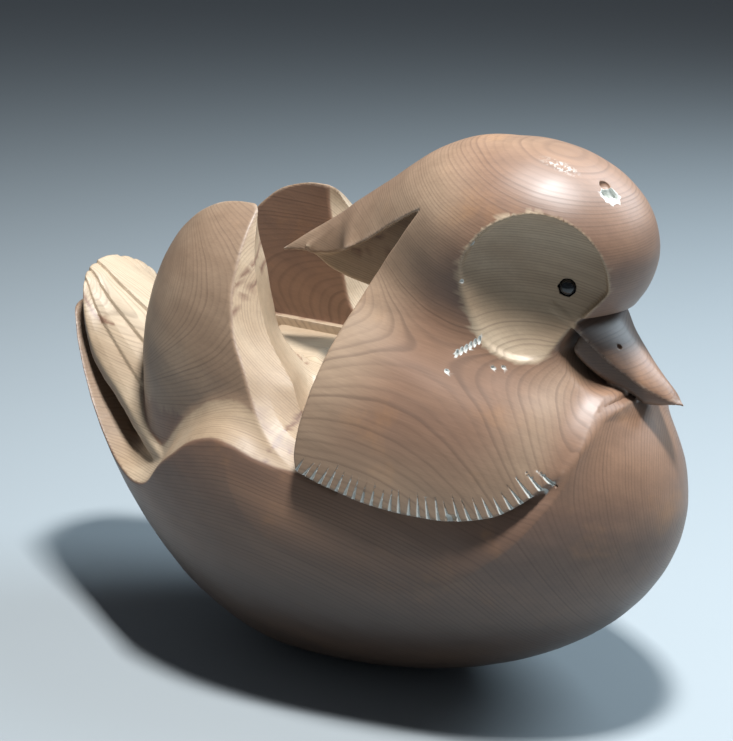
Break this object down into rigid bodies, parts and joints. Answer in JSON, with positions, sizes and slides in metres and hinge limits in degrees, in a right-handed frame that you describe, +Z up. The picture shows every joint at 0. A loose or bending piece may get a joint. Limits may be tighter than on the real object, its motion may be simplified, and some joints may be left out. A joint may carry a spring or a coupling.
{
  "type": "carved wooden duck",
  "caption": "Free-standing carved wooden duck with raised wing sails, a fanned tail, a swept-back crest and round eye dishes holding bead eyes.",
  "frame": {"origin": "on the table under the middle of the overall length and width, on the flat underside", "axes": "+Z up, +X forwards to the bill, +Y to the duck's left"},
  "size_m": [0.2733, 0.1479, 0.2089],
  "materials": {
    "wood": "waxed, satin, with paler knife-cut faces",
    "bead": "polished black"
  },
  "bodies": {
    "root": {"duck": "wood", "eye_right": "bead", "eye_left": "bead"}
  },
  "joints": []
}
